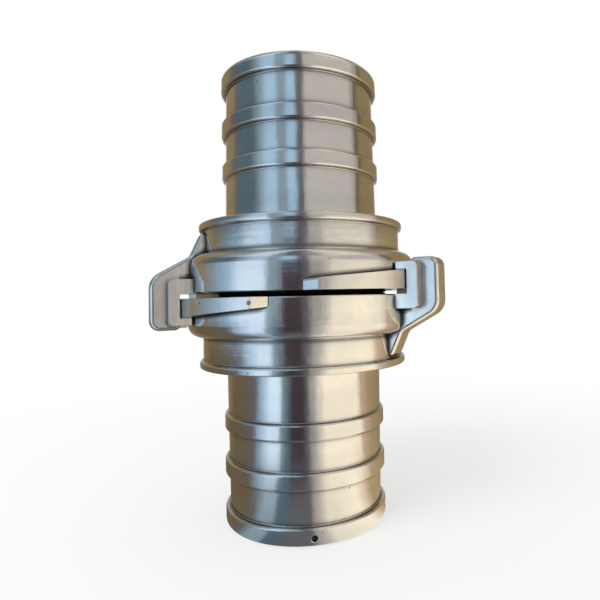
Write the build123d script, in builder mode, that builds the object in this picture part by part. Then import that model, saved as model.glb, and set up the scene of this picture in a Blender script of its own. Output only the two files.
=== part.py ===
from build123d import *

import math
import os

# A pair of two-claw hose couplings, locked together. Both halves are the same: a ribbed hose tail,
# a claw ring that turns on it, a rubber seal ring and a wire snap ring. A half is drawn with its
# parting plane on XY and its tail rising along +Z. The pair stands on the lower tail's end rim,
# with the origin at the middle of that rim. Lengths are in millimetres, angles in degrees.

# The pair
half_length = 91.0  # parting plane to the end of the tail
ring_gap = 1.9  # between the front faces of the two claw rings
first_claw_az = 19.4  # where the upper ring's first claw stands
mating_axis_az = 84.4  # the level axis about which one half turned over makes the other

# Hose tail
rib_r = 33.0  # half the bore of the hose
rib_depth = 2.0  # at the tail's end
rib_width = 6.2
rib_edge_r = 0.85
rib_root_r = 0.5
rib_pitch = 17.7
rib_count = 2
last_rib_from_end = 22.7
end_rim_width = 6.7
end_rim_edge_r = 2.0
tail_wall = 3.0  # at the tail's end
barrel_draft = 0.9  # what the barrel's radius gains towards the journal
mouth_edge_r = 1.0  # rounding at both ends of the waterway
journal_step = 0.8  # over the ribs, so that the claw ring passes them
journal_run_out = 1.4  # plain length behind the snap ring groove
journal_taper = 2.0
collar_step = 5.2  # over the journal
collar_width = 7.7
collar_setback = 0.35  # behind the front face of the claw ring
collar_edge = 0.6

# Seal ring, in a groove of the collar's front face
groove_inner_wall = 3.0
groove_outer_wall = 2.5
groove_depth = 5.0
seal_side_gap = 0.1
seal_face_gap = 0.05  # from the crest to the parting plane
seal_shoulder = 0.9  # step between the seal's foot and its crest
seal_crest_r = 1.1

# Snap ring, a split ring of round wire
wire_r = 1.4
wire_gap = 0.1  # on each side in its groove
wire_seat_gap = 0.05
snap_groove_depth = 1.2
snap_split = 16.0

# Claw ring
swivel_gap = 0.25  # round the journal
collar_gap = 0.4  # round the collar
axial_gap = 0.15  # between collar, shoulder and snap ring
shoulder_width = 8.65
recess_step = 3.6  # from the journal out to the recess round the snap ring
recess_edge = 0.8
cylinder_wall = 3.8
ring_rear_h = 28.8
bead_step = 1.4
bead_width = 3.0
bead_edge_r = 0.85
body_step = 6.0  # from the rear cylinder out to the body
body_h = 16.2
body_shoulder_r = 5.0
front_edge = 0.5
root_r = 0.5  # where the rear cylinder meets the body and the bead

# Ledges, two on each ring, which climb away from their tips
ledge_width = 4.4
ledge_tip_h = 4.6
ledge_rise = 0.075  # climb for each degree
ledge_tip_edge_r = 2.6
ledge_ramp = 4.0  # how far the slope at the tip's outer corner reaches across the ledge
ledge_ramp_run = 5.0  # how far it reaches along the ledge
ledge_tip_az = 72.25  # from the middle of the claw before it
ledge_end_az = 177.0  # inside the web of the claw behind it
lip_clearance = 0.15  # between a ledge and the lip that draws on it

# Claws, two on each ring
claw_width = 20.4  # between its parallel ends
claw_side_gap = 0.4  # round the other ring's ledges
claw_wall = 4.0
claw_lip = 2.8
lip_gap = 0.7  # round the other ring's body
lip_root_r = 0.4
claw_arm_h = 6.4
claw_edge_r = 1.9
claw_end_r = 1.3

# Gusset, the web that stiffens the middle of each claw
gusset_width = 10.0
gusset_stand = 5.4  # out from the claw
gusset_tip_stand = 1.0  # past the lip
gusset_tip_inset = 1.6  # from the outer wall of the claw's slot
gusset_heel = 0.7  # behind the claw's arm
gusset_knee_inset = 0.5  # from the body's side
gusset_knee_drop = 0.8  # from the body's rear
gusset_top_stand = 1.2  # out from the rear cylinder
gusset_top_gap = 0.8  # below the bead
gusset_corner_r = 3.5
gusset_small_corner_r = 1.9
gusset_knee_r = 1.0
gusset_edge_r = 1.6
gusset_inset = 0.6  # its hidden edge, from the recess

# Radii and heights that follow
barrel_end_r = rib_r - rib_depth
barrel_root_r = barrel_end_r + barrel_draft
waterway_r = barrel_end_r - tail_wall
journal_r = rib_r + journal_step
collar_r = journal_r + collar_step
recess_r = journal_r + recess_step
cylinder_r = recess_r + cylinder_wall
bead_r = cylinder_r + bead_step
body_r = cylinder_r + body_step
ledge_r = body_r + ledge_width
claw_inner_r = ledge_r + claw_side_gap
claw_r = claw_inner_r + claw_wall
claw_lip_r = body_r + lip_gap
ring_front_h = ring_gap / 2
collar_front_h = ring_front_h + collar_setback
collar_rear_h = collar_front_h + collar_width
shoulder_front_h = collar_rear_h + axial_gap
shoulder_rear_h = shoulder_front_h + shoulder_width
snap_h = shoulder_rear_h + axial_gap + wire_r
snap_seat_r = journal_r - snap_groove_depth
journal_end_h = snap_h + wire_r + wire_gap + journal_run_out
bead_h = ring_rear_h - bead_width
sunk = 1.5  # how deep the claws and ledges are rooted in the body
span = 4.0  # how far a cutting slab passes what it cuts, in millimetres or degrees


def section_plane(az):
    """The upright plane through the axis at an azimuth: local x is the radius, local y the height."""
    outward = (math.cos(math.radians(az)), math.sin(math.radians(az)), 0)
    sideways = (math.sin(math.radians(az)), -math.cos(math.radians(az)), 0)
    return Plane(origin=(0, 0, 0), x_dir=outward, z_dir=sideways)


def corners_at(section, radius):
    """The corners of a section that lie at a radius, from the parting plane up."""
    near = 0.001
    return section.vertices().filter_by_position(Axis.X, radius - near, radius + near).sort_by(Axis.Y)


def corner(section, radius, height):
    """The corner of a section at a radius and a height."""
    return section.vertices().sort_by_distance((radius, height))[0]


def climbing_slab(start_az, arc, inner_r, outer_r, low_h, thickness):
    """A slab whose faces climb as the ledges do. Its under face starts at low_h."""
    middle_r = (inner_r + outer_r) / 2
    with BuildPart() as slab:
        with BuildLine() as path:
            Helix(ledge_rise * 360, ledge_rise * arc, middle_r)
        with BuildSketch(Plane.XZ):
            with Locations((middle_r, thickness / 2)):
                Rectangle(outer_r - inner_r, thickness)
        sweep(path=path.line, is_frenet=True)
    return slab.part.moved(Location((0, 0, low_h), (0, 0, start_az)))


# Hose tail
with BuildPart() as hose_tail:
    with BuildSketch(Plane.XZ) as tail_section:
        groove_inner_r = waterway_r + groove_inner_wall
        groove_outer_r = collar_r - groove_outer_wall
        groove_floor_h = collar_front_h + groove_depth
        with BuildLine():
            Polyline(
                (waterway_r, collar_front_h),
                (groove_inner_r, collar_front_h),
                (groove_inner_r, groove_floor_h),
                (groove_outer_r, groove_floor_h),
                (groove_outer_r, collar_front_h),
                (collar_r, collar_front_h),
                (collar_r, collar_rear_h),
                (journal_r, collar_rear_h),
                (journal_r, journal_end_h),
                (barrel_root_r, journal_end_h + journal_taper),
                (barrel_end_r, half_length),
                (waterway_r, half_length),
                close=True,
            )
        make_face()
        chamfer(corner(tail_section, collar_r, collar_front_h), collar_edge)
        with Locations((journal_r, snap_h)):
            Rectangle(2 * snap_groove_depth, 2 * (wire_r + wire_gap), mode=Mode.SUBTRACT)
        rib_middle_r = (rib_r + waterway_r) / 2
        rib_hs = [half_length - last_rib_from_end - rib_pitch * rib for rib in range(rib_count)]
        with Locations([(rib_middle_r, rib_h) for rib_h in rib_hs]):
            Rectangle(rib_r - waterway_r, rib_width)
        with Locations((rib_middle_r, half_length - end_rim_width / 2)):
            Rectangle(rib_r - waterway_r, end_rim_width)
        barrel_corners = tail_section.vertices().filter_by_position(Axis.X, barrel_end_r, barrel_root_r)
        rib_roots = barrel_corners.filter_by_position(Axis.Y, rib_hs[-1] - rib_width, half_length)
        fillet(rib_roots, rib_root_r)
        barrel_start_h = journal_end_h + journal_taper
        drafted = (rib_hs[-1] - rib_width / 2 - barrel_start_h) / (half_length - barrel_start_h)
        rib_side = rib_r - barrel_root_r + barrel_draft * drafted  # height of the lowest rib side
        rib_rounding = min(rib_edge_r, 0.95 * (rib_side - rib_root_r))
        fillet(corners_at(tail_section, rib_r)[:-1], rib_rounding)
        fillet(corner(tail_section, rib_r, half_length), end_rim_edge_r)
        fillet(corners_at(tail_section, waterway_r), mouth_edge_r)
    revolve(axis=Axis.Z)

# Seal ring
with BuildPart() as seal_ring:
    with BuildSketch(Plane.XZ) as seal_section:
        seal_inner_r = groove_inner_r + seal_side_gap
        seal_outer_r = groove_outer_r - seal_side_gap
        with BuildLine():
            Polyline(
                (seal_inner_r, groove_floor_h),
                (seal_inner_r, collar_front_h + seal_shoulder),
                (seal_inner_r + seal_shoulder, collar_front_h),
                (seal_inner_r + seal_shoulder, seal_face_gap),
                (seal_outer_r - seal_shoulder, seal_face_gap),
                (seal_outer_r - seal_shoulder, collar_front_h),
                (seal_outer_r, collar_front_h + seal_shoulder),
                (seal_outer_r, groove_floor_h),
                close=True,
            )
        make_face()
        fillet(seal_section.vertices().group_by(Axis.Y)[0], seal_crest_r)
    revolve(axis=Axis.Z)

# Snap ring
with BuildPart() as snap_ring:
    with BuildSketch(Plane.XZ):
        with Locations((snap_seat_r + wire_seat_gap + wire_r, snap_h)):
            Circle(wire_r)
    revolve(axis=Axis.Z, revolution_arc=360 - snap_split)

# One ledge, from its tip to the claw behind it
with BuildPart() as ledge:
    ledge_arc = ledge_end_az - ledge_tip_az
    with BuildSketch(section_plane(ledge_tip_az)):
        with Locations((body_r - sunk, ring_front_h)):
            Rectangle(ledge_width + sunk, body_h - ring_front_h, align=Align.MIN)
    revolve(axis=Axis.Z, revolution_arc=ledge_arc)
    above_ledge = climbing_slab(
        start_az=ledge_tip_az - span,
        arc=ledge_arc + 2 * span,
        inner_r=body_r - span,
        outer_r=ledge_r + span,
        low_h=ledge_tip_h - ledge_rise * span,
        thickness=body_h,
    )
    add(above_ledge, mode=Mode.SUBTRACT)
    tip_corner = section_plane(ledge_tip_az).from_local_coords((ledge_r, ledge_tip_h))
    chamfer(ledge.edges().filter_by(Axis.Z).sort_by_distance(tip_corner)[0], ledge_ramp, ledge_ramp_run)
    tip_top = ledge.edges().filter_by_position(Axis.Z, ledge_tip_h, ledge_tip_h + ledge_rise * span)
    fillet(tip_top, ledge_tip_edge_r)

# The space in a claw where the other ring's ledge runs: level above, climbing with the lip below
end_az = math.degrees(math.asin(claw_width / 2 / body_r)) + span
lock_az = 2 * (mating_axis_az - first_claw_az) - ledge_tip_az
lip_face_h = -(ledge_tip_h + ledge_rise * lock_az + lip_clearance)
gusset_tip_h = lip_face_h - claw_lip - gusset_tip_stand
with BuildPart() as slot:
    with BuildSketch(section_plane(-end_az)):
        with Locations((claw_lip_r - span, ring_front_h)):
            slot_size = (claw_inner_r - claw_lip_r + span, ring_front_h - gusset_tip_h)
            Rectangle(*slot_size, align=(Align.MIN, Align.MAX))
    revolve(axis=Axis.Z, revolution_arc=2 * end_az)
    below_lip_face = climbing_slab(
        start_az=-end_az - span,
        arc=2 * (end_az + span),
        inner_r=claw_lip_r - 2 * span,
        outer_r=claw_inner_r + span,
        low_h=lip_face_h - ledge_rise * (end_az + span) - body_h,
        thickness=body_h,
    )
    add(below_lip_face, mode=Mode.SUBTRACT)

# The web across the middle of a claw
with BuildPart() as gusset:
    with BuildSketch(Plane.XZ) as web:
        gusset_r = claw_r + gusset_stand
        gusset_tip_r = claw_inner_r - gusset_tip_inset
        knee_at_r = body_r - gusset_knee_inset
        gusset_top_h = bead_h - gusset_top_gap
        gusset_hidden_r = recess_r + gusset_inset
        with BuildLine():
            Polyline(
                (gusset_tip_r, gusset_tip_h),
                (gusset_r, gusset_tip_h),
                (gusset_r, claw_arm_h + gusset_heel),
                (knee_at_r, body_h - gusset_knee_drop),
                (cylinder_r + gusset_top_stand, gusset_top_h),
                (gusset_hidden_r, gusset_top_h),
                (gusset_hidden_r, shoulder_front_h + span),
                (body_r - span, claw_arm_h / 2),
                (gusset_tip_r, claw_arm_h / 2),
                close=True,
            )
        make_face()
        fillet(corner(web, gusset_tip_r, gusset_tip_h), gusset_small_corner_r)
        fillet(corner(web, cylinder_r + gusset_top_stand, gusset_top_h), gusset_small_corner_r)
        fillet(corners_at(web, knee_at_r), gusset_knee_r)
        fillet(corners_at(web, gusset_r), gusset_corner_r)
    extrude(amount=gusset_width / 2, both=True)
    fillet(gusset.faces().filter_by(Axis.Y).edges(), gusset_edge_r)

# One claw: a C-section that reaches over the parting plane
with BuildPart() as claw:
    with BuildSketch(section_plane(-end_az)):
        with BuildLine():
            Polyline(
                (body_r - sunk, ring_front_h),
                (body_r - sunk, claw_arm_h),
                (claw_r, claw_arm_h),
                (claw_r, gusset_tip_h),
                (claw_lip_r, gusset_tip_h),
                (claw_lip_r, ring_front_h),
                close=True,
            )
        make_face()
    revolve(axis=Axis.Z, revolution_arc=2 * end_az)
    Box(2 * gusset_r, claw_width, 2 * body_h - 2 * gusset_tip_h, mode=Mode.INTERSECT)
    below_lip = climbing_slab(
        start_az=-end_az,
        arc=2 * end_az,
        inner_r=claw_lip_r - span,
        outer_r=claw_r + span,
        low_h=lip_face_h - claw_lip - ledge_rise * end_az - body_h,
        thickness=body_h,
    )
    add(below_lip, mode=Mode.SUBTRACT)
    fillet(claw.edges().filter_by(GeomType.LINE, reverse=True).sort_by(Axis.X)[-2:], claw_edge_r)
    ends = claw.faces().filter_by(Axis.Y)
    fillet(ends.edges().filter_by_position(Axis.X, claw_lip_r, claw_r), claw_end_r)
    add(gusset.part)
    add(slot.part, mode=Mode.SUBTRACT)
    fillet(claw.edges().sort_by_distance((claw_inner_r, 0, lip_face_h))[0], lip_root_r)

# Claw ring
with BuildPart() as claw_ring:
    with BuildSketch(Plane.XZ) as ring_section:
        ring_bore_r = journal_r + swivel_gap
        collar_bore_r = collar_r + collar_gap
        with BuildLine():
            Polyline(
                (collar_bore_r, ring_front_h),
                (body_r, ring_front_h),
                (body_r, body_h),
                (cylinder_r, body_h),
                (cylinder_r, bead_h),
                (bead_r, bead_h),
                (bead_r, ring_rear_h),
                (recess_r, ring_rear_h),
                (recess_r, shoulder_rear_h),
                (ring_bore_r, shoulder_rear_h),
                (ring_bore_r, shoulder_front_h),
                (collar_bore_r, shoulder_front_h),
                close=True,
            )
        make_face()
        fillet(corner(ring_section, body_r, body_h), body_shoulder_r)
        fillet(corners_at(ring_section, cylinder_r), root_r)
        fillet(corners_at(ring_section, bead_r), bead_edge_r)
        chamfer(corner(ring_section, body_r, ring_front_h), front_edge)
        chamfer(corner(ring_section, recess_r, ring_rear_h), recess_edge)
    revolve(axis=Axis.Z)
    with PolarLocations(0, 2, start_angle=first_claw_az):
        add(ledge.part)
        add(claw.part)

# Each half in its place: the upper one raised onto the parting plane, the lower one turned over
pieces = {
    "hose_tail": hose_tail.part,
    "claw_ring": claw_ring.part,
    "seal_ring": seal_ring.part,
    "snap_ring": snap_ring.part,
}
across = (math.cos(math.radians(mating_axis_az)), math.sin(math.radians(mating_axis_az)), 0)
mating_axis = Axis((0, 0, half_length), across)

os.makedirs("parts", exist_ok=True)
for name, piece in pieces.items():
    with BuildPart() as upper:
        with Locations((0, 0, half_length)):
            add(piece)
    upper.part.label = "upper_" + name
    export_step(upper.part, f"parts/upper_{name}.step")
    with BuildPart() as lower:
        add(upper.part.rotate(mating_axis, 180))
    lower.part.label = "lower_" + name
    export_step(lower.part, f"parts/lower_{name}.step")
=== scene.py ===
import math

import bmesh
import bpy
from mathutils import Matrix, Vector


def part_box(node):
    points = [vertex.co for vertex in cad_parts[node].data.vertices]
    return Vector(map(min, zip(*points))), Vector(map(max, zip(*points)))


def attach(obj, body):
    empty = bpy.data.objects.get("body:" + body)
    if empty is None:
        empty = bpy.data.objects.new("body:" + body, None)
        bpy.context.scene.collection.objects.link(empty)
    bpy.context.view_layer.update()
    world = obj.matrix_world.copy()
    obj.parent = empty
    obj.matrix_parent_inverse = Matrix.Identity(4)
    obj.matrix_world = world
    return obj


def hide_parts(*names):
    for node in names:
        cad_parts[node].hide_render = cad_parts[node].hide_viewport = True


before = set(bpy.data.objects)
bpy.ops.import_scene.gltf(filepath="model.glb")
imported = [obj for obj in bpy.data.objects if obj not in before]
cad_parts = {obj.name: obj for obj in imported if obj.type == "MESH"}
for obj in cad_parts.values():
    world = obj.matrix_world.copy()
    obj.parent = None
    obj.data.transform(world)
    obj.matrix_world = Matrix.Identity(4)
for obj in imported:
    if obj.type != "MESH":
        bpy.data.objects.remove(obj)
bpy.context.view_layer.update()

# A pair of two-claw hose couplings, locked together and standing on the lower tail's end rim. Both
# halves are the same. A half is modelled in millimetres with its parting plane on XY and its tail
# along +Z, and is then put in its place in the row's frame, in metres.

millimetre = 0.001
half_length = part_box("upper_hose_tail")[1].z / 2 / millimetre
mating_axis_az = 84.4  # the level axis about which one half turned over makes the other
first_claw_az = 19.4

# Tail, radii and heights from the parting plane
waterway_r = 28.0
barrel_end_r = 31.0
barrel_root_r = 31.9
rib_r = 33.0
rib_width = 6.2
rib_edge_r = 0.85
rib_root_r = 0.5
rib_pitch = 17.7
rib_count = 2
last_rib_from_end = 22.7
end_rim_width = 6.7
end_rim_edge_r = 2.0
journal_r = 33.8
journal_end_h = 22.25
journal_taper = 2.0
collar_r = 39.0
collar_front_h = 1.3
collar_rear_h = 9.0
collar_edge = 0.6
snap_h = 19.35
snap_groove_depth = 1.2
snap_groove_width = 3.0
mouth_edge_r = 1.0
groove_inner_r = 31.0
groove_outer_r = 36.5
groove_floor_h = 6.3

# Seal ring and snap ring
seal_side_gap = 0.1
seal_shoulder = 0.9
seal_crest_h = 0.05
seal_crest_r = 1.1
wire_r = 1.4
wire_seat_gap = 0.05
snap_split = 16.0

# Claw ring
ring_front_h = 0.95
ring_bore_r = 34.05
collar_bore_r = 39.4
shoulder_front_h = 9.15
shoulder_rear_h = 17.8
recess_r = 37.4
recess_edge = 0.8
cylinder_r = 41.2
bead_r = 42.6
bead_h = 25.8
bead_edge_r = 0.85
ring_rear_h = 28.8
body_r = 47.2
body_h = 16.2
body_shoulder_r = 5.0
front_edge = 0.5
root_r = 0.5

# Ledges
ledge_r = 51.6
ledge_tip_h = 4.6
ledge_rise = 0.075  # for each degree
ledge_tip_az = 72.25
ledge_end_az = 177.0  # inside the web of the claw behind it
ledge_root_r = 43.2
ledge_ramp = 4.0  # how far the slope at the tip's outer corner reaches across the ledge
ledge_ramp_run = 5.0  # how far it reaches along the ledge
ledge_tip_edge_r = 2.6
ledge_edge_r = 0.35

# Claws
claw_width = 20.4
claw_inner_r = 52.0
claw_r = 56.0
claw_lip_r = 47.9
claw_root_r = 45.7
claw_end_az = 16.5  # past the claw's ends
claw_arm_h = 6.4
claw_edge_r = 1.9
claw_end_r = 1.3
lip_face_h = -9.08
lip_root_r = 0.4
claw_lip = 2.8

# The web across the middle of a claw
gusset_width = 10.0
gusset_r = 61.4
gusset_tip_r = 50.4
gusset_tip_h = -12.88
gusset_heel_h = 7.1
gusset_knee = (46.7, 15.4)
gusset_top = (42.4, 25.0)
gusset_hidden_r = 38.0
gusset_hidden_h = 13.15
gusset_root_r = 43.2
gusset_corner_r = 3.5
gusset_small_corner_r = 1.9
gusset_knee_r = 1.0
gusset_edge_r = 1.6

# Finish: radii, and the heights of the surface's patterns
cast_skin_r = 50.6  # outside it the claw rings are as cast
cast_skin_blend = 0.8
ring_shade_r = 33.4  # outside it the tails run in the claw rings, where their colour is darkened as painted shade
ring_shade_blend = 0.4
wave_h = 0.12
flat_h = 0.035
pit_h = 0.05
grain_h = 0.03
fine_line_h = 0.006
broad_line_h = 0.025
hidden_bump_h = 0.1  # on the rubber and the wire
broken_edge_r = 0.35
shade_reach = 3.0  # how far from a corner the painted shade and grime start

# Dents in the lower half: mouth radius, lip, depth, radius of the surface, azimuth and height
ledge_dent = (0.7, 0.35, 0.6, ledge_r, 277.6, 3.0)
rim_dent = (1.0, 0.8, 1.3, rib_r, 252.9, 87.9)

# How finely the pieces are cut up
round_steps = 288
ledge_steps = 80
claw_steps = 26
snap_ring_steps = 160
wire_steps = 24
dent_steps = 32
corner_steps = 5
claw_edge_steps = 6
nose_steps = 8
ledge_edge_steps = 3
sharp_angle = 32  # from it on two faces meet in a sharp edge

span = 4.0  # how far a cutting body passes what it cuts
near = 0.02  # within it a point counts as being on a line, a plane or a radius
weld = 0.0005  # within it two points become one


def outline(corners, az=0.0):
    """A closed outline in the upright plane at an azimuth, from (radius, height, rounding) corners."""
    bm = bmesh.new()
    verts = [bm.verts.new((radius, 0, height)) for radius, height, rounding in corners]
    for here, there in zip(verts, verts[1:] + verts[:1]):
        bm.edges.new((here, there))
    for vert, (radius, height, rounding) in zip(verts, corners):
        if rounding:
            round_off(bm, [vert], rounding, affect="VERTICES")
    turned = Matrix.Rotation(math.radians(az), 3, "Z")
    bmesh.ops.rotate(bm, verts=bm.verts[:], cent=(0, 0, 0), matrix=turned)
    return bm


def round_off(bm, geom, radius, affect="EDGES", steps=corner_steps):
    bmesh.ops.bevel(
        bm,
        geom=geom,
        offset=radius,
        offset_type="OFFSET",
        segments=steps,
        profile=0.5,
        affect=affect,
        clamp_overlap=True,
        material=-1,
    )


def turn(bm, arc, steps):
    """Spins a filled outline about the coupling's axis through an arc."""
    bmesh.ops.contextual_create(bm, geom=bm.edges[:])
    spin(bm, arc, steps, False)


def turn_full(bm):
    """Spins an outline right round the coupling's axis."""
    spin(bm, 360, round_steps, True)


def spin(bm, arc, steps, full):
    bmesh.ops.spin(
        bm,
        geom=bm.verts[:] + bm.edges[:] + bm.faces[:],
        cent=(0, 0, 0),
        axis=(0, 0, 1),
        angle=math.radians(arc),
        steps=steps,
        use_merge=full,
    )


def azimuth_of(point):
    return math.degrees(math.atan2(point.y, point.x))


def climb(bm, low, high, from_az):
    """Lifts the points between two heights as the ledges climb, counted from an azimuth."""
    for vert in bm.verts:
        if low < vert.co.z < high:
            vert.co.z += ledge_rise * (azimuth_of(vert.co) - from_az)


def closed(bm):
    bmesh.ops.remove_doubles(bm, verts=bm.verts[:], dist=weld)
    bmesh.ops.recalc_face_normals(bm, faces=bm.faces[:])
    return bm


def make_mesh(bm, name):
    mesh = bpy.data.meshes.new(name)
    bm.to_mesh(mesh)
    bm.free()
    return mesh


def link(name, data):
    thing = bpy.data.objects.new(name, data)
    bpy.context.scene.collection.objects.link(thing)
    return thing


def joined(base, others, cuts, name):
    """One closed mesh of a base with other meshes joined to it and cuts taken out of it."""
    body = link(name, base)
    tools = []
    for operation, meshes in (("UNION", others), ("DIFFERENCE", cuts)):
        for mesh in meshes:
            tool = link(name + "_tool", mesh)
            tools.append(tool)
            step = body.modifiers.new(operation.lower(), "BOOLEAN")
            step.operation = operation
            step.solver = "MANIFOLD"
            step.object = tool
    depsgraph = bpy.context.evaluated_depsgraph_get()
    result = bpy.data.meshes.new_from_object(body.evaluated_get(depsgraph))
    for used in [body, *tools]:
        bpy.data.objects.remove(used)
    result.name = name
    return result


def turned_copy(mesh, az):
    copy = mesh.copy()
    copy.transform(Matrix.Rotation(math.radians(az), 4, "Z"))
    return copy


def tail_mesh():
    barrel_start_h = journal_end_h + journal_taper
    slope = (barrel_end_r - barrel_root_r) / (half_length - barrel_start_h)
    snap_front_h = snap_h - snap_groove_width / 2
    snap_rear_h = snap_h + snap_groove_width / 2
    snap_floor_r = journal_r - snap_groove_depth
    corners = [
        (waterway_r, collar_front_h, mouth_edge_r),
        (groove_inner_r, collar_front_h, 0),
        (groove_inner_r, groove_floor_h, 0),
        (groove_outer_r, groove_floor_h, 0),
        (groove_outer_r, collar_front_h, 0),
        (collar_r, collar_front_h, collar_edge),
        (collar_r, collar_rear_h, 0),
        (journal_r, collar_rear_h, 0),
        (journal_r, snap_front_h, 0),
        (snap_floor_r, snap_front_h, 0),
        (snap_floor_r, snap_rear_h, 0),
        (journal_r, snap_rear_h, 0),
        (journal_r, journal_end_h, 0),
        (barrel_root_r, barrel_start_h, rib_root_r),
    ]
    for rib in reversed(range(rib_count)):
        front_h = half_length - last_rib_from_end - rib_pitch * rib - rib_width / 2
        rear_h = front_h + rib_width
        corners += [
            (barrel_root_r + slope * (front_h - barrel_start_h), front_h, rib_root_r),
            (rib_r, front_h, rib_edge_r),
            (rib_r, rear_h, rib_edge_r),
            (barrel_root_r + slope * (rear_h - barrel_start_h), rear_h, rib_root_r),
        ]
    rim_front_h = half_length - end_rim_width
    corners += [
        (barrel_root_r + slope * (rim_front_h - barrel_start_h), rim_front_h, rib_root_r),
        (rib_r, rim_front_h, rib_edge_r),
        (rib_r, half_length, end_rim_edge_r),
        (waterway_r, half_length, mouth_edge_r),
    ]
    bm = outline(corners)
    turn_full(bm)
    return make_mesh(closed(bm), "hose_tail")


def seal_mesh():
    inner_r = groove_inner_r + seal_side_gap
    outer_r = groove_outer_r - seal_side_gap
    bm = outline([
        (inner_r, groove_floor_h, 0),
        (inner_r, collar_front_h + seal_shoulder, 0),
        (inner_r + seal_shoulder, collar_front_h, 0),
        (inner_r + seal_shoulder, seal_crest_h, seal_crest_r),
        (outer_r - seal_shoulder, seal_crest_h, seal_crest_r),
        (outer_r - seal_shoulder, collar_front_h, 0),
        (outer_r, collar_front_h + seal_shoulder, 0),
        (outer_r, groove_floor_h, 0),
    ])
    turn_full(bm)
    return make_mesh(closed(bm), "seal_ring")


def snap_ring_mesh():
    bm = bmesh.new()
    wire_centre_r = journal_r - snap_groove_depth + wire_seat_gap + wire_r
    upright = Matrix.Translation((wire_centre_r, 0, snap_h)) @ Matrix.Rotation(math.pi / 2, 4, "X")
    bmesh.ops.create_circle(bm, radius=wire_r, segments=wire_steps, matrix=upright)
    turn(bm, 360 - snap_split, snap_ring_steps)
    return make_mesh(closed(bm), "snap_ring")


def ring_body_mesh():
    bm = outline([
        (collar_bore_r, ring_front_h, 0),
        (body_r, ring_front_h, front_edge),
        (body_r, body_h, body_shoulder_r),
        (cylinder_r, body_h, root_r),
        (cylinder_r, bead_h, root_r),
        (bead_r, bead_h, bead_edge_r),
        (bead_r, ring_rear_h, bead_edge_r),
        (recess_r, ring_rear_h, recess_edge),
        (recess_r, shoulder_rear_h, 0),
        (ring_bore_r, shoulder_rear_h, 0),
        (ring_bore_r, shoulder_front_h, 0),
        (collar_bore_r, shoulder_front_h, 0),
    ])
    turn_full(bm)
    return make_mesh(closed(bm), "ring_body")


def edges_round_the_axis(bm, radius):
    """The sharp edges that run round the axis at a radius."""
    found = []
    for edge in bm.edges:
        start, end = [vert.co for vert in edge.verts]
        on_radius = abs(start.xy.length - radius) < near and abs(end.xy.length - radius) < near
        upright = (start - end).xy.length < near
        if on_radius and not upright and edge.calc_face_angle(0) > math.radians(sharp_angle):
            found.append(edge)
    return found


def trim(bm, point, outward):
    """Cuts off what lies beyond a plane and closes the cut."""
    geom = bm.verts[:] + bm.edges[:] + bm.faces[:]
    cut = bmesh.ops.bisect_plane(bm, geom=geom, plane_co=point, plane_no=outward, clear_outer=True)
    rim = [item for item in cut["geom_cut"] if isinstance(item, bmesh.types.BMEdge)]
    bmesh.ops.contextual_create(bm, geom=rim)


def ledge_mesh():
    """One ledge from its ramped tip to the web of the claw behind it, for a claw at azimuth nought."""
    arc = ledge_end_az - ledge_tip_az
    bm = outline(
        [
            (ledge_root_r, ring_front_h, 0),
            (ledge_r, ring_front_h, 0),
            (ledge_r, ledge_tip_h, 0),
            (ledge_root_r, ledge_tip_h, 0),
        ],
        az=ledge_tip_az,
    )
    turn(bm, arc, ledge_steps)
    climb(bm, ring_front_h + near, body_h, ledge_tip_az)
    closed(bm)
    tip = math.radians(ledge_tip_az)
    ramp_end = tip + ledge_ramp_run / ledge_r
    ramp_foot = Vector((math.cos(tip), math.sin(tip), 0)) * (ledge_r - ledge_ramp)
    ramp_head = Vector((math.cos(ramp_end), math.sin(ramp_end), 0)) * ledge_r
    ramp = ramp_head - ramp_foot
    ramp_outward = Vector((ramp.y, -ramp.x, 0))
    if ramp_outward.dot(ramp_head) < 0:
        ramp_outward.negate()
    trim(bm, ramp_foot, ramp_outward)
    closed(bm)
    nose = []
    for edge in bm.edges:
        ends = [vert.co for vert in edge.verts]
        on_top = min(end.z for end in ends) > ledge_tip_h - near
        at_tip = all(abs(azimuth_of(end) - ledge_tip_az) < near for end in ends)
        on_ramp = all(abs((end - ramp_foot).dot(ramp_outward.normalized())) < near for end in ends)
        if on_top and (at_tip or on_ramp):
            nose.append(edge)
    round_off(bm, nose, ledge_tip_edge_r, steps=nose_steps)
    closed(bm)
    round_off(bm, edges_round_the_axis(bm, ledge_r), ledge_edge_r, steps=ledge_edge_steps)
    return make_mesh(closed(bm), "ledge")


def claw_block_mesh():
    """The block that a claw is cut from, for a claw at azimuth nought. Its ends are parallel."""
    bm = outline(
        [
            (claw_root_r, ring_front_h, 0),
            (claw_root_r, claw_arm_h, 0),
            (claw_r, claw_arm_h, 0),
            (claw_r, lip_face_h - claw_lip, 0),
            (claw_lip_r, lip_face_h - claw_lip, 0),
            (claw_lip_r, ring_front_h, 0),
        ],
        az=-claw_end_az,
    )
    turn(bm, 2 * claw_end_az, claw_steps)
    climb(bm, gusset_tip_h, 0, 0)
    closed(bm)
    for side in (-1, 1):
        trim(bm, (0, side * claw_width / 2, 0), (0, side, 0))
    closed(bm)
    round_off(bm, edges_round_the_axis(bm, claw_r), claw_edge_r, steps=claw_edge_steps)
    closed(bm)
    outside = set()
    for face in bm.faces:
        for edge in face.edges:
            middle = (edge.verts[0].co + edge.verts[1].co) / 2
            if abs(face.normal.y) > 1 - near and middle.xy.length > claw_lip_r + claw_end_r / 2:
                outside.add(edge)
    round_off(bm, list(outside), claw_end_r)
    return make_mesh(closed(bm), "claw_block")


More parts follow.
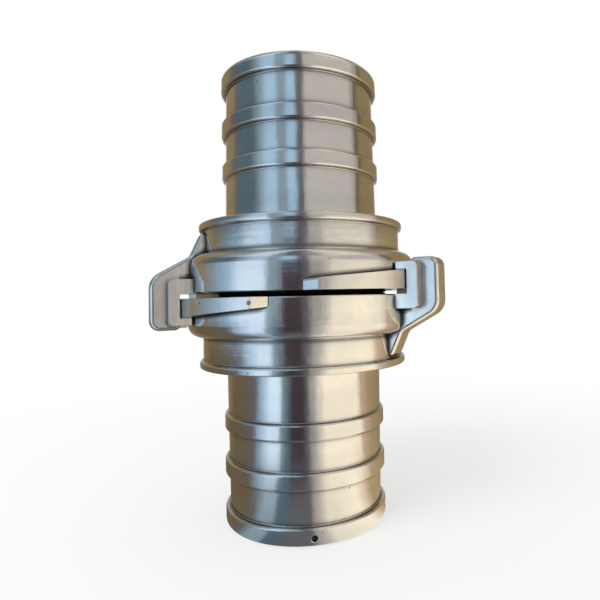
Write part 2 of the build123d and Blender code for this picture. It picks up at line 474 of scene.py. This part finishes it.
def gusset_mesh():
    """The web across the middle of a claw, for a claw at azimuth nought."""
    bm = outline([
        (gusset_tip_r, gusset_tip_h, gusset_small_corner_r),
        (gusset_r, gusset_tip_h, gusset_corner_r),
        (gusset_r, gusset_heel_h, gusset_corner_r),
        (*gusset_knee, gusset_knee_r),
        (*gusset_top, gusset_small_corner_r),
        (gusset_hidden_r, gusset_top[1], 0),
        (gusset_hidden_r, gusset_hidden_h, 0),
        (gusset_root_r, claw_arm_h / 2, 0),
        (gusset_tip_r, claw_arm_h / 2, 0),
    ])
    bmesh.ops.translate(bm, verts=bm.verts[:], vec=(0, -gusset_width / 2, 0))
    bmesh.ops.contextual_create(bm, geom=bm.edges[:])
    pulled = bmesh.ops.extrude_face_region(bm, geom=bm.faces[:], use_keep_orig=True)
    moved = [item for item in pulled["geom"] if isinstance(item, bmesh.types.BMVert)]
    bmesh.ops.translate(bm, verts=moved, vec=(0, gusset_width, 0))
    closed(bm)
    sides = [e for e in bm.edges if abs(e.verts[0].co.y - e.verts[1].co.y) < near]
    round_off(bm, sides, gusset_edge_r, steps=claw_edge_steps)
    return make_mesh(closed(bm), "gusset")


def slot_mesh():
    """The space in a claw where the other ring's ledge runs."""
    bm = outline(
        [
            (claw_lip_r - span, ring_front_h, 0),
            (claw_inner_r, ring_front_h, 0),
            (claw_inner_r, lip_face_h, lip_root_r),
            (claw_lip_r - span, lip_face_h, 0),
        ],
        az=-claw_end_az,
    )
    turn(bm, 2 * claw_end_az, claw_steps)
    climb(bm, gusset_tip_h, 0, 0)
    return make_mesh(closed(bm), "slot")


def claw_ring_mesh():
    claw = joined(claw_block_mesh(), [gusset_mesh()], [slot_mesh()], "claw")
    ledge = ledge_mesh()
    others = []
    for az in (first_claw_az, first_claw_az + 180):
        others += [turned_copy(ledge, az), turned_copy(claw, az)]
    return joined(ring_body_mesh(), others, [], "claw_ring")


def dent_mesh(mouth_r, lip_r, depth, surface_r, az, height):
    """The space of a round dent with a rounded lip, in a surface that runs round the axis."""
    floor_rounding = 0.8 * mouth_r
    outer_r = mouth_r + 2 * lip_r
    bm = outline([
        (0, -depth, 0),
        (mouth_r, -depth, floor_rounding),
        (mouth_r, 0, lip_r),
        (outer_r, 0, 0),
        (outer_r, depth, 0),
        (0, depth, 0),
    ])
    on_axis = [edge for edge in bm.edges if max(vert.co.x for vert in edge.verts) < weld]
    bmesh.ops.delete(bm, geom=on_axis, context="EDGES")
    spin(bm, 360, dent_steps, True)
    closed(bm)
    outward = Matrix.Rotation(math.radians(az), 4, "Z") @ Matrix.Translation((surface_r, 0, height))
    bmesh.ops.transform(bm, verts=bm.verts[:], matrix=outward @ Matrix.Rotation(math.pi / 2, 4, "Y"))
    return make_mesh(bm, "dent")


def shade_smooth(mesh):
    for face in mesh.polygons:
        face.use_smooth = True
    mesh.set_sharp_from_angle(angle=math.radians(sharp_angle))


upper_place = Matrix.Scale(millimetre, 4) @ Matrix.Translation((0, 0, half_length))
level_axis = Vector((math.cos(math.radians(mating_axis_az)), math.sin(math.radians(mating_axis_az)), 0))
lower_place = upper_place @ Matrix.Rotation(math.pi, 4, level_axis)


class Wire:
    """A shader socket that takes part in sums: an expression on wires adds its Math nodes."""

    def __init__(self, finish, socket):
        self.finish = finish
        self.socket = socket

    def maths(self, operation, first, second=0.0):
        return self.finish.node("Math", {"operation": operation}, {0: first, 1: second})

    def __add__(self, other):
        return self.maths("ADD", self, other)

    __radd__ = __add__

    def __sub__(self, other):
        return self.maths("SUBTRACT", self, other)

    def __rsub__(self, other):
        return self.maths("SUBTRACT", other, self)

    def __mul__(self, other):
        return self.maths("MULTIPLY", self, other)

    __rmul__ = __mul__

    def __truediv__(self, other):
        return self.maths("DIVIDE", self, other)

    def __pow__(self, other):
        return self.maths("POWER", self, other)


class Finish:
    """A node tree that is being filled: a material's or the world's."""

    def __init__(self, tree):
        self.tree = tree
        tree.nodes.clear()

    def node(self, kind, settings=None, sockets=None, output=0):
        """Adds a node. Its settings are set first, and then its sockets' values or links."""
        node = self.tree.nodes.new("ShaderNode" + kind)
        for name, value in (settings or {}).items():
            if name == "stops":
                self.place_stops(node.color_ramp, value)
            else:
                setattr(node, name, value)
        for socket, value in (sockets or {}).items():
            if isinstance(value, Wire):
                self.tree.links.new(value.socket, node.inputs[socket])
            else:
                node.inputs[socket].default_value = value
        return Wire(self, node.outputs[output]) if node.outputs else node

    def place_stops(self, ramp, stops):
        while len(ramp.elements) < len(stops):
            ramp.elements.new(1.0)
        for element, (position, colour) in zip(ramp.elements, stops):
            element.position = position
            element.color = (*colour, 1)

    def coordinates(self):
        """The object coordinates."""
        return self.node("TexCoord", output="Object")

    def parts(self, vector):
        return [self.node("SeparateXYZ", {}, {0: vector}, output=axis) for axis in (0, 1, 2)]

    def vector(self, x, y, z):
        return self.node("CombineXYZ", {}, {0: x, 1: y, 2: z})

    def noise(self, where, scale, detail=3.0, roughness=0.5):
        sockets = {"Vector": where, "Scale": scale, "Detail": detail, "Roughness": roughness}
        return self.node("TexNoise", {}, sockets)

    def between(self, value, low, high):
        """Nought below the low value, one above the high one and smooth between them."""
        settings = {"interpolation_type": "SMOOTHSTEP", "clamp": True}
        return self.node("MapRange", settings, {"Value": value, "From Min": low, "From Max": high})

    def mix(self, factor, first, second):
        """A blend of two colours."""
        colours = {0: factor, 6: first, 7: second}
        return self.node("Mix", {"data_type": "RGBA"}, colours, output=2)

    def principled(self, sockets):
        """Adds the surface shader and gives it to the material."""
        self.surface(self.node("BsdfPrincipled", {}, sockets))

    def surface(self, shader, kind="Material"):
        self.node("Output" + kind, {}, {"Surface": shader})


def grey(level):
    return (level, level, level, 1)


def new_finish(name):
    """A material and its node tree, ready to be filled."""
    material = bpy.data.materials.new(name)
    material.use_nodes = True
    return material, Finish(material.node_tree)


def polished_aluminium(name, cast_from=None, ring_shade_from=None):
    """Turned and polished aluminium. Outside one radius it is as cast and buffed, or darkened with
    painted shade where the tails run inside the claw rings. Corners get painted shade and grime.
    """
    dull = (0.74, 0.74, 0.75, 1)
    bright = (0.86, 0.855, 0.84, 1)
    stain = (0.62, 0.57, 0.49, 1)
    # the dark colour of the painted shade and grime in corners and hollows
    shade_and_grime_colour = grey(0.03)
    pit_bottom = (0.08, 0.07, 0.06, 1)
    stretch = 0.06  # of the patterns that run in lines

    material, finish = new_finish(name)
    where = finish.coordinates()
    x, y, z = finish.parts(where)
    radius = (x * x + y * y) ** 0.5
    turning = finish.vector(x * stretch, y * stretch, z + radius)
    upright = finish.vector(x, y, z * stretch)
    waves = finish.noise(where, 110, detail=2)
    flats = finish.noise(upright, 360, detail=2)
    fine_lines = finish.noise(turning, 2600, detail=2)
    broad_lines = finish.noise(turning, 520, detail=3)
    bands = finish.noise(turning, 90, detail=2)
    blotches = finish.noise(where, 70, detail=4, roughness=0.6)
    grain = finish.noise(where, 900, detail=3)
    cells = finish.node("TexVoronoi", {"feature": "F1"}, {"Vector": where, "Scale": 210})
    few = finish.between(finish.noise(where, 60, detail=1), 0.52, 0.6)
    pits = (1 - finish.between(cells, 0.05, 0.1)) * few
    # Painted shade and grime: ambient occlusion darkens the colour in corners, hollows and the claws'
    # slots
    corners = finish.node(
        "AmbientOcclusion",
        {"samples": 8, "only_local": True},
        {"Distance": shade_reach * millimetre},
        output="AO",
    )

    unshaded = finish.between(corners, 0.6, 0.92)
    # Painted shade inside the claw rings: outside a radius the tails go dark
    if ring_shade_from:
        ring_shade_to = ring_shade_from + ring_shade_blend
        unshaded = unshaded * (1 - finish.between(radius, ring_shade_from * millimetre, ring_shade_to * millimetre))
    shade_and_grime = 1 - unshaded
    height = waves * wave_h + flats * flat_h - pits * pit_h
    lines = fine_lines * fine_line_h + broad_lines * broad_line_h
    if cast_from:
        cast_to = cast_from + cast_skin_blend
        cast = finish.between(radius, cast_from * millimetre, cast_to * millimetre)
        shade_and_grime = shade_and_grime * (1 - cast * 0.75)
        height = height + cast * grain * grain_h + (1 - cast) * lines
        roughness = 0.11 + cast * 0.1
    else:
        height = height + lines
        roughness = 0.10
    broken_edges = finish.node("Bevel", {"samples": 4}, {"Radius": broken_edge_r * millimetre})
    bump = {"Strength": 1.0, "Distance": millimetre, "Height": height, "Normal": broken_edges}
    normal = finish.node("Bump", {}, bump)

    shine = finish.between(bands * 0.6 + blotches * 0.4, 0.38, 0.62)
    metal = finish.mix(shine, dull, bright)
    stained = finish.mix(finish.between(blotches, 0.5, 0.72) * 0.3, metal, stain)
    # Painted shade and grime darken the colour here
    shaded = finish.mix(shade_and_grime * 0.95, stained, shade_and_grime_colour)
    colour = finish.mix(pits * 0.8, shaded, pit_bottom)
    roughness = roughness + blotches * 0.05 + shade_and_grime * 0.25
    finish.principled({"Base Color": colour, "Metallic": 1.0, "Roughness": roughness, "Normal": normal})
    return material


def black_rubber():
    black_compound = grey(0.012)
    chalky = (0.045, 0.043, 0.040, 1)

    material, finish = new_finish("black_rubber")
    where = finish.coordinates()
    grain = finish.noise(where, 1800, detail=4)
    bloom = finish.between(finish.noise(where, 160, detail=3), 0.45, 0.7)
    colour = finish.mix(bloom * 0.5, black_compound, chalky)
    bump = {"Strength": 0.3, "Distance": hidden_bump_h * millimetre, "Height": grain}
    normal = finish.node("Bump", {}, bump)
    finish.principled({"Base Color": colour, "Roughness": 0.55 + grain * 0.2, "Normal": normal})
    return material


def drawn_wire():
    steel_grey = (0.42, 0.42, 0.43, 1)
    oiled = (0.22, 0.19, 0.15, 1)

    material, finish = new_finish("drawn_spring_wire")
    where = finish.coordinates()
    streaks = finish.noise(where, 1400, detail=3)
    oil = finish.between(finish.noise(where, 120, detail=2), 0.4, 0.65)
    colour = finish.mix(oil * 0.5, steel_grey, oiled)
    bump = {"Strength": 0.2, "Distance": hidden_bump_h * millimetre, "Height": streaks}
    normal = finish.node("Bump", {}, bump)
    roughness = 0.25 + streaks * 0.2
    finish.principled({"Base Color": colour, "Metallic": 1.0, "Roughness": roughness, "Normal": normal})
    return material


tail_finish = polished_aluminium("turned_tail", ring_shade_from=ring_shade_r)
ring_finish = polished_aluminium("ring_casting", cast_from=cast_skin_r)
pieces = (  # node, mesh, the piece's name, slot, material, dent in the lower half
    ("hose_tail", tail_mesh(), "turned_tail", "tail_aluminium", tail_finish, rim_dent),
    ("claw_ring", claw_ring_mesh(), "claw_casting", "ring_aluminium", ring_finish, ledge_dent),
    ("seal_ring", seal_mesh(), "rubber_seal", "seal_rubber", black_rubber(), None),
    ("snap_ring", snap_ring_mesh(), "wire_snap_ring", "spring_wire", drawn_wire(), None),
)
for half, place in (("upper", upper_place), ("lower", lower_place)):
    for node, mesh, name, slot, material, dent in pieces:
        shape = mesh.copy()
        if half == "lower" and dent:
            shape = joined(shape, [], [dent_mesh(*dent)], node)
        shape.transform(place)
        shade_smooth(shape)
        shape.materials.clear()
        shape.materials.append(material)
        piece = link(f"{half}_{name}", shape)
        even = piece.modifiers.new("even_normals", "WEIGHTED_NORMAL")
        even.keep_sharp = True
        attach(piece, f"{half}_ring" if node == "claw_ring" else f"{half}_tail")
        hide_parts(f"{half}_{node}")

# Studio, in metres. A pair of values is where a blend starts and ends.
floor_size = 4.0
shadow_blend_r = (0.08, 0.4)  # the floor shows its shadow inside it and is plain white outside
white_by_the_object = 0.55  # how far the floor is plain white even there
tent_r = 0.6
tent_height = 0.9
tent_lift = 0.0005  # above the floor
tent_steps = 128
tent_glow = 1.2
beside_r = (0.036, 0.16)
ground_top_h = (0.01, 0.05)
low_wall_top_h = (0.13, 0.24)
high_wall_top_h = (0.46, 0.58)
ceiling_share = 0.35  # of the ceiling's own colour, overhead
sky_level = 0.75


def seen_by_the_eye(finish):
    """One for camera, mirror and glass rays, which see a plain white studio."""
    rays = ("Is Camera Ray", "Is Glossy Ray", "Is Transmission Ray")
    return sum(finish.node("LightPath", output=ray) for ray in rays)


def pale_floor():
    material, finish = new_finish("pale_floor")
    x, y = finish.parts(finish.coordinates())[:2]
    far = finish.between((x * x + y * y) ** 0.5, *shadow_blend_r)
    share = white_by_the_object + far * (1 - white_by_the_object)
    paper = finish.node("BsdfDiffuse", {}, {"Color": grey(0.9)})
    white = finish.node("Emission", {}, {"Color": grey(1), "Strength": 1.0})
    finish.surface(finish.node("MixShader", {}, {0: seen_by_the_eye(finish) * share, 1: paper, 2: white}))
    return material


bm = bmesh.new()
bmesh.ops.create_grid(bm, x_segments=1, y_segments=1, size=floor_size / 2)
floor = link("floor", make_mesh(bm, "floor"))
floor.data.materials.append(pale_floor())

# The tent round the object is what the polished metal mirrors. Only mirror rays see it. Its colours are
# painted reflections, and it glows though it is no lamp. Its painted bands stand for a cream card on the
# right, a blue window on the left, a black flag between them, and a dim room behind with a pale wall that
# a dark post divides.
cream = (0.96, 0.85, 0.66)
sand = (0.76, 0.69, 0.56)
tan = (0.50, 0.36, 0.25)
ochre = (0.37, 0.28, 0.15)
olive = (0.24, 0.18, 0.09)
umber = (0.13, 0.10, 0.06)
black = (0.05, 0.035, 0.04)
charcoal = (0.11, 0.11, 0.12)
stone = (0.30, 0.28, 0.25)
ash = (0.46, 0.43, 0.39)
slate = (0.08, 0.12, 0.15)
steel = (0.22, 0.29, 0.34)
dusk = (0.34, 0.50, 0.65)
window = (0.65, 0.81, 0.95)
pale = (0.62, 0.62, 0.60)
painted_reflection_colours = (  # azimuth, ground beside the object, ground further out, low wall, high wall
    (4, ochre, tan, tan, umber),
    (12, ochre, ochre, ochre, olive),
    (60, olive, olive, olive, olive),
    (68, umber, stone, ash, ash),
    (76, umber, stone, pale, pale),
    (88, umber, stone, pale, ash),
    (92, umber, charcoal, charcoal, charcoal),
    (98, umber, charcoal, charcoal, charcoal),
    (102, umber, stone, ash, ash),
    (113, umber, stone, pale, pale),
    (121, umber, olive, olive, olive),
    (150, umber, umber, olive, olive),
    (164, umber, umber, olive, charcoal),
    (182, umber, umber, steel, slate),
    (200, umber, charcoal, dusk, slate),
    (212, charcoal, dusk, window, steel),
    (224, steel, window, window, dusk),
    (236, steel, window, window, dusk),
    (240, slate, steel, steel, steel),
    (250, slate, slate, steel, steel),
    (254, charcoal, black, black, dusk),
    (264, charcoal, black, black, dusk),
    (268, charcoal, black, black, charcoal),
    (275, charcoal, charcoal, charcoal, charcoal),
    (279, stone, stone, stone, ash),
    (286, ash, ash, stone, ash),
    (293, sand, sand, ash, ash),
    (298, sand, cream, sand, ash),
    (330, cream, cream, cream, ash),
    (350, tan, cream, sand, ash),
    (358, ochre, tan, tan, stone),
)
ceiling_colour = (0.24, 0.26, 0.28, 1)


def painted_reflection_tent():
    material, finish = new_finish("painted_reflection_tent")
    x, y, z = finish.parts(finish.coordinates())
    radius = (x * x + y * y) ** 0.5
    azimuth = finish.node("Math", {"operation": "ARCTAN2"}, {0: -1 * y, 1: -1 * x}) / (2 * math.pi) + 0.5
    columns = []
    for column in (1, 2, 3, 4):
        stops = [(row[0] / 360, row[column]) for row in painted_reflection_colours]
        columns.append(finish.node("ValToRGB", {"stops": stops}, {0: azimuth}))
    beside, ground, low, high = columns
    floor_colour = finish.mix(finish.between(radius, *beside_r), beside, ground)
    wall_colour = finish.mix(finish.between(z, *low_wall_top_h), low, high)
    sides = finish.mix(finish.between(z, *ground_top_h), floor_colour, wall_colour)
    overhead = finish.mix(ceiling_share, low, ceiling_colour)
    colour = finish.mix(finish.between(z, *high_wall_top_h), sides, overhead)
    # The tent glows with painted reflections, though it is no lamp
    finish.surface(finish.node("Emission", {}, {"Color": colour, "Strength": tent_glow}))
    return material


bm = bmesh.new()
bmesh.ops.create_cone(
    bm,
    cap_ends=True,
    segments=tent_steps,
    radius1=tent_r,
    radius2=tent_r,
    depth=tent_height,
)
bmesh.ops.translate(bm, verts=bm.verts[:], vec=(0, 0, tent_height / 2 + tent_lift))
tent = link("tent", make_mesh(bm, "tent"))
tent.data.materials.append(painted_reflection_tent())
tent.visible_camera = False
tent.visible_diffuse = False
tent.visible_shadow = False
tent.visible_transmission = False

# Light: a plain pale sky and one large lamp on the left
world = bpy.data.worlds.new("studio")
bpy.context.scene.world = world
world.use_nodes = True
finish = Finish(world.node_tree)
level = finish.mix(seen_by_the_eye(finish), grey(sky_level), grey(1.0))
finish.surface(finish.node("Background", {}, {"Color": level, "Strength": 1.0}), kind="World")

key = bpy.data.lights.new("key", "AREA")
key.shape = "DISK"
key.size = 0.5
key.energy = 4.0
lamp = link("key", key)
lamp.location = (-0.45, -0.45, 0.75)
middle = Vector((0, 0, 0.09))
lamp.rotation_euler = (middle - lamp.location).to_track_quat("-Z", "Y").to_euler()
lamp.visible_glossy = False

# Camera, as the photograph was taken: close up, and with the coupling left of the middle of the view
camera_place = Vector((0.00609, -0.21736, 0.08874))
yaw, pitch, roll = 0.0711, 0.0419, -0.0234
forward = Vector((math.sin(yaw) * math.cos(pitch), math.cos(yaw) * math.cos(pitch), math.sin(pitch)))
level_right = Vector((math.cos(yaw), -math.sin(yaw), 0))
level_up = level_right.cross(forward)
right = math.cos(roll) * level_right + math.sin(roll) * level_up
up = math.cos(roll) * level_up - math.sin(roll) * level_right
turned = Matrix((right, up, -forward)).transposed().to_4x4()
camera_data = bpy.data.cameras.new("camera")
camera_data.sensor_width = 36
camera_data.lens = 30.24
camera_data.shift_x = -0.0881
camera_data.shift_y = -0.0380
camera_data.clip_start = 0.01
camera = link("camera", camera_data)
camera.matrix_world = Matrix.Translation(camera_place) @ turned
bpy.context.scene.camera = camera
bpy.context.scene.view_settings.view_transform = "Standard"
